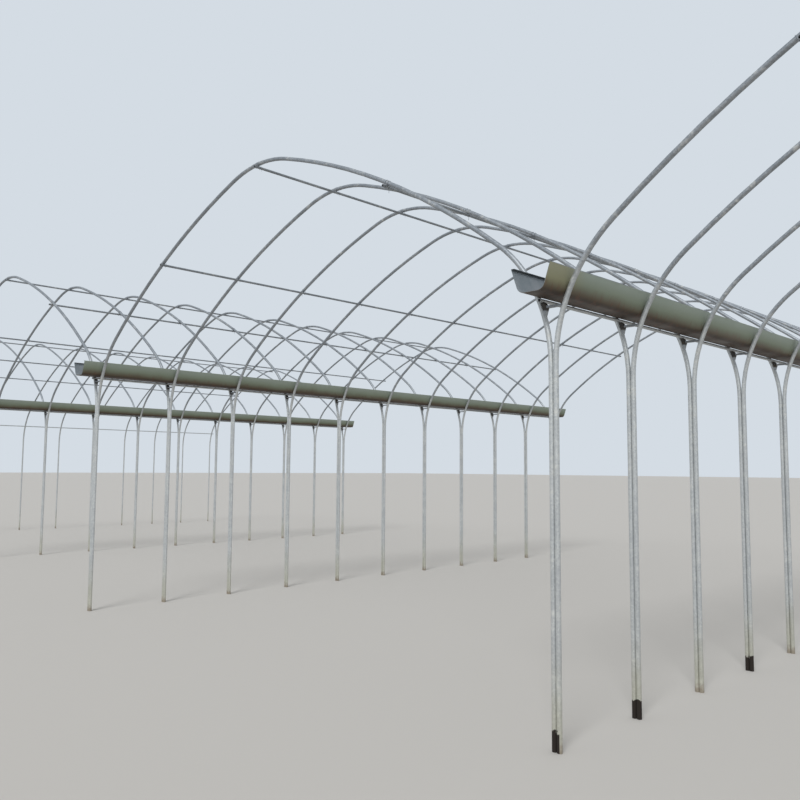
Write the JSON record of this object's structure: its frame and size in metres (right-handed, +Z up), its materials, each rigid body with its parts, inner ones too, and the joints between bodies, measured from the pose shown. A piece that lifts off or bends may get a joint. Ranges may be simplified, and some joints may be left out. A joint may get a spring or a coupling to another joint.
{
  "type": "multi-span greenhouse frame",
  "caption": "Bare tube frame of a multi-span greenhouse: round-shouldered tunnels side by side on paired posts, with gutters in the valleys between them.",
  "frame": {"origin": "on the ground under the middle of the house, at the bottom centre of its box", "axes": "+Z up, the ridges and gutters run along Y, with the pictured end at -Y, and X runs across the spans"},
  "size_m": [24, 9.19, 4.1734],
  "materials": {
    "bow_tube": "hot-dip galvanised tube, lightly weathered",
    "purlin_tube": "galvanised tube",
    "gutter_sheet": "galvanised sheet, dull grey green and stained brown underneath",
    "bracket_steel": "dark galvanised steel"
  },
  "bodies": {
    "root": {"span_1_left_bows": "bow_tube", "span_1_right_bows": "bow_tube", "span_1_ridge_collars": "bow_tube", "span_1_ridge_purlin": "purlin_tube", "span_1_side_purlins": "purlin_tube", "span_2_left_bows": "bow_tube", "span_2_right_bows": "bow_tube", "span_2_ridge_collars": "bow_tube", "span_2_ridge_purlin": "purlin_tube", "span_2_side_purlins": "purlin_tube", "span_3_left_bows": "bow_tube", "span_3_right_bows": "bow_tube", "span_3_ridge_collars": "bow_tube", "span_3_ridge_purlin": "purlin_tube", "span_3_side_purlins": "purlin_tube", "span_4_left_bows": "bow_tube", "span_4_right_bows": "bow_tube", "span_4_ridge_collars": "bow_tube", "span_4_ridge_purlin": "purlin_tube", "span_4_side_purlins": "purlin_tube", "gutter_1": "gutter_sheet", "gutter_1_bearer": "purlin_tube", "gutter_1_ties": "bracket_steel", "gutter_1_gussets": "bracket_steel", "gutter_2": "gutter_sheet", "gutter_2_bearer": "purlin_tube", "gutter_2_ties": "bracket_steel", "gutter_2_gussets": "bracket_steel", "gutter_3": "gutter_sheet", "gutter_3_bearer": "purlin_tube", "gutter_3_ties": "bracket_steel", "gutter_3_gussets": "bracket_steel", "left_eaves_tube": "purlin_tube", "right_eaves_tube": "purlin_tube"}
  },
  "joints": []
}
